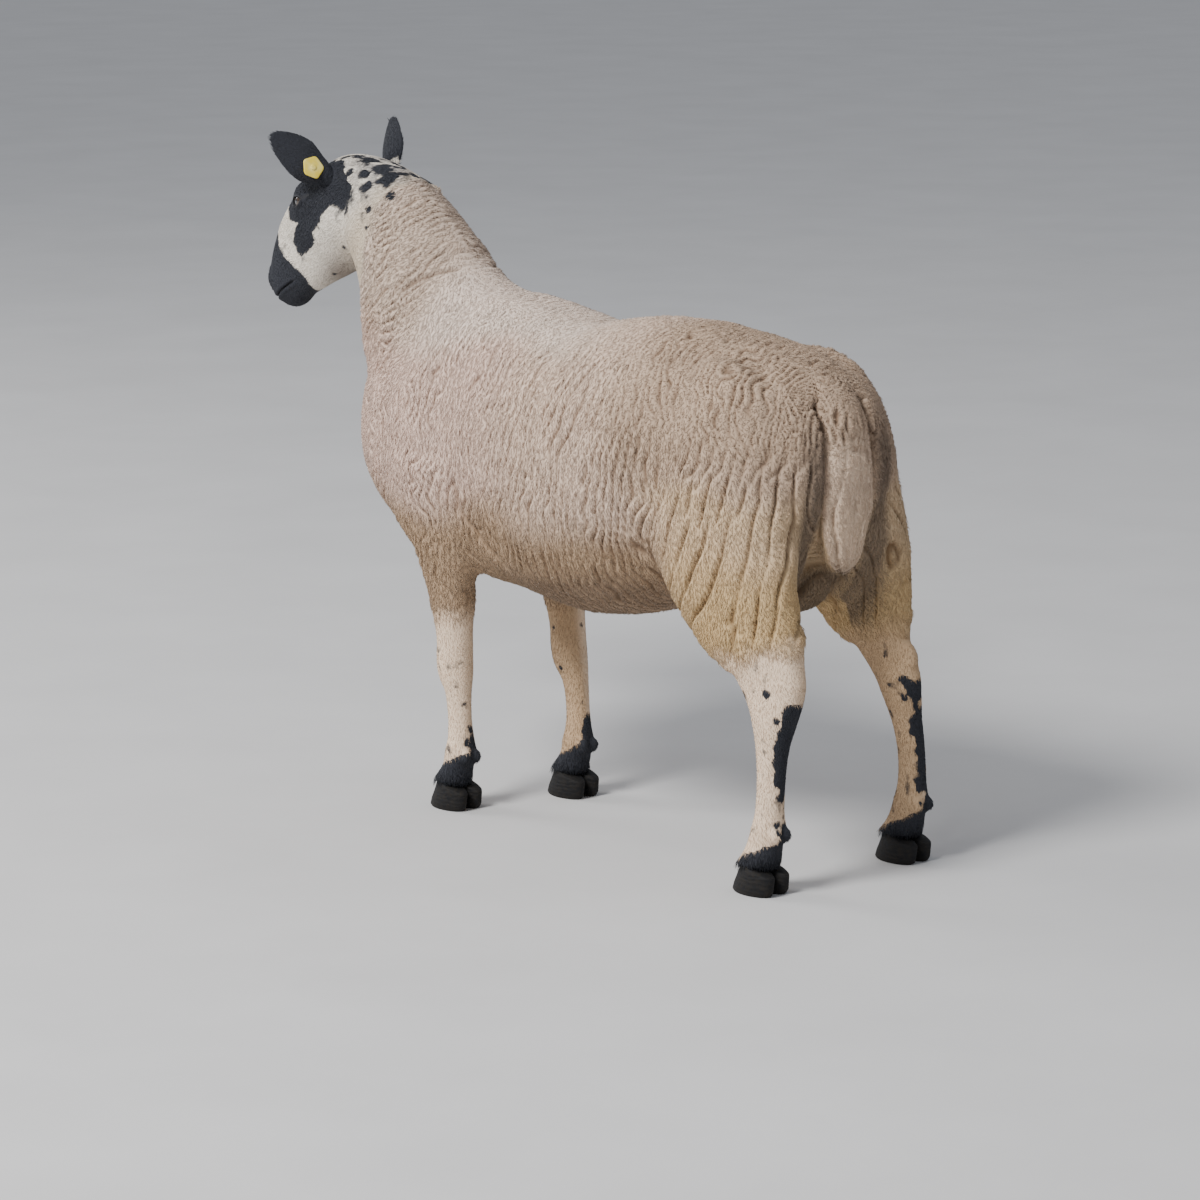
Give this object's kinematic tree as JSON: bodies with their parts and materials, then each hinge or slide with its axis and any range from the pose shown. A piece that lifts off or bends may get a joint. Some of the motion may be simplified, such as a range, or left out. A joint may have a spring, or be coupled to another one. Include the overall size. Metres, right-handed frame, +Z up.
{
  "type": "standing mule sheep with a speckled face",
  "caption": "Polled sheep standing square and alert, with a short cream fleece, a black and white face, black feet and a yellow ear tag.",
  "frame": {"origin": "on the floor under the middle of the sheep's length and width", "axes": "-Y the way the sheep faces, +X its left side, +Z up"},
  "size_m": [0.3777, 1.1671, 0.941],
  "materials": {
    "fleece": "matte short curled wool, cream",
    "face_hair": "short flat hair, white and cream with black markings",
    "black_hair": "short flat black hair",
    "leg_hair": "short white hair with black markings under cream wool",
    "hoof_horn": "dull dark horn",
    "eye": "wet gloss",
    "tag_plastic": "satin yellow plastic"
  },
  "bodies": {
    "root": {"head": "face_hair", "ear_left": "black_hair", "ear_right": "black_hair", "ear_tag": "tag_plastic", "eye_left": "eye", "eye_right": "eye", "neck": "fleece", "torso": "fleece", "rump": "fleece", "tail": "fleece", "foreleg_left": "leg_hair", "foreleg_right": "leg_hair", "hindleg_left": "leg_hair", "hindleg_right": "leg_hair", "hoof_fore_left_outer": "hoof_horn", "hoof_fore_left_inner": "hoof_horn", "hoof_fore_right_outer": "hoof_horn", "hoof_fore_right_inner": "hoof_horn", "hoof_hind_left_outer": "hoof_horn", "hoof_hind_left_inner": "hoof_horn", "hoof_hind_right_outer": "hoof_horn", "hoof_hind_right_inner": "hoof_horn"}
  },
  "joints": []
}
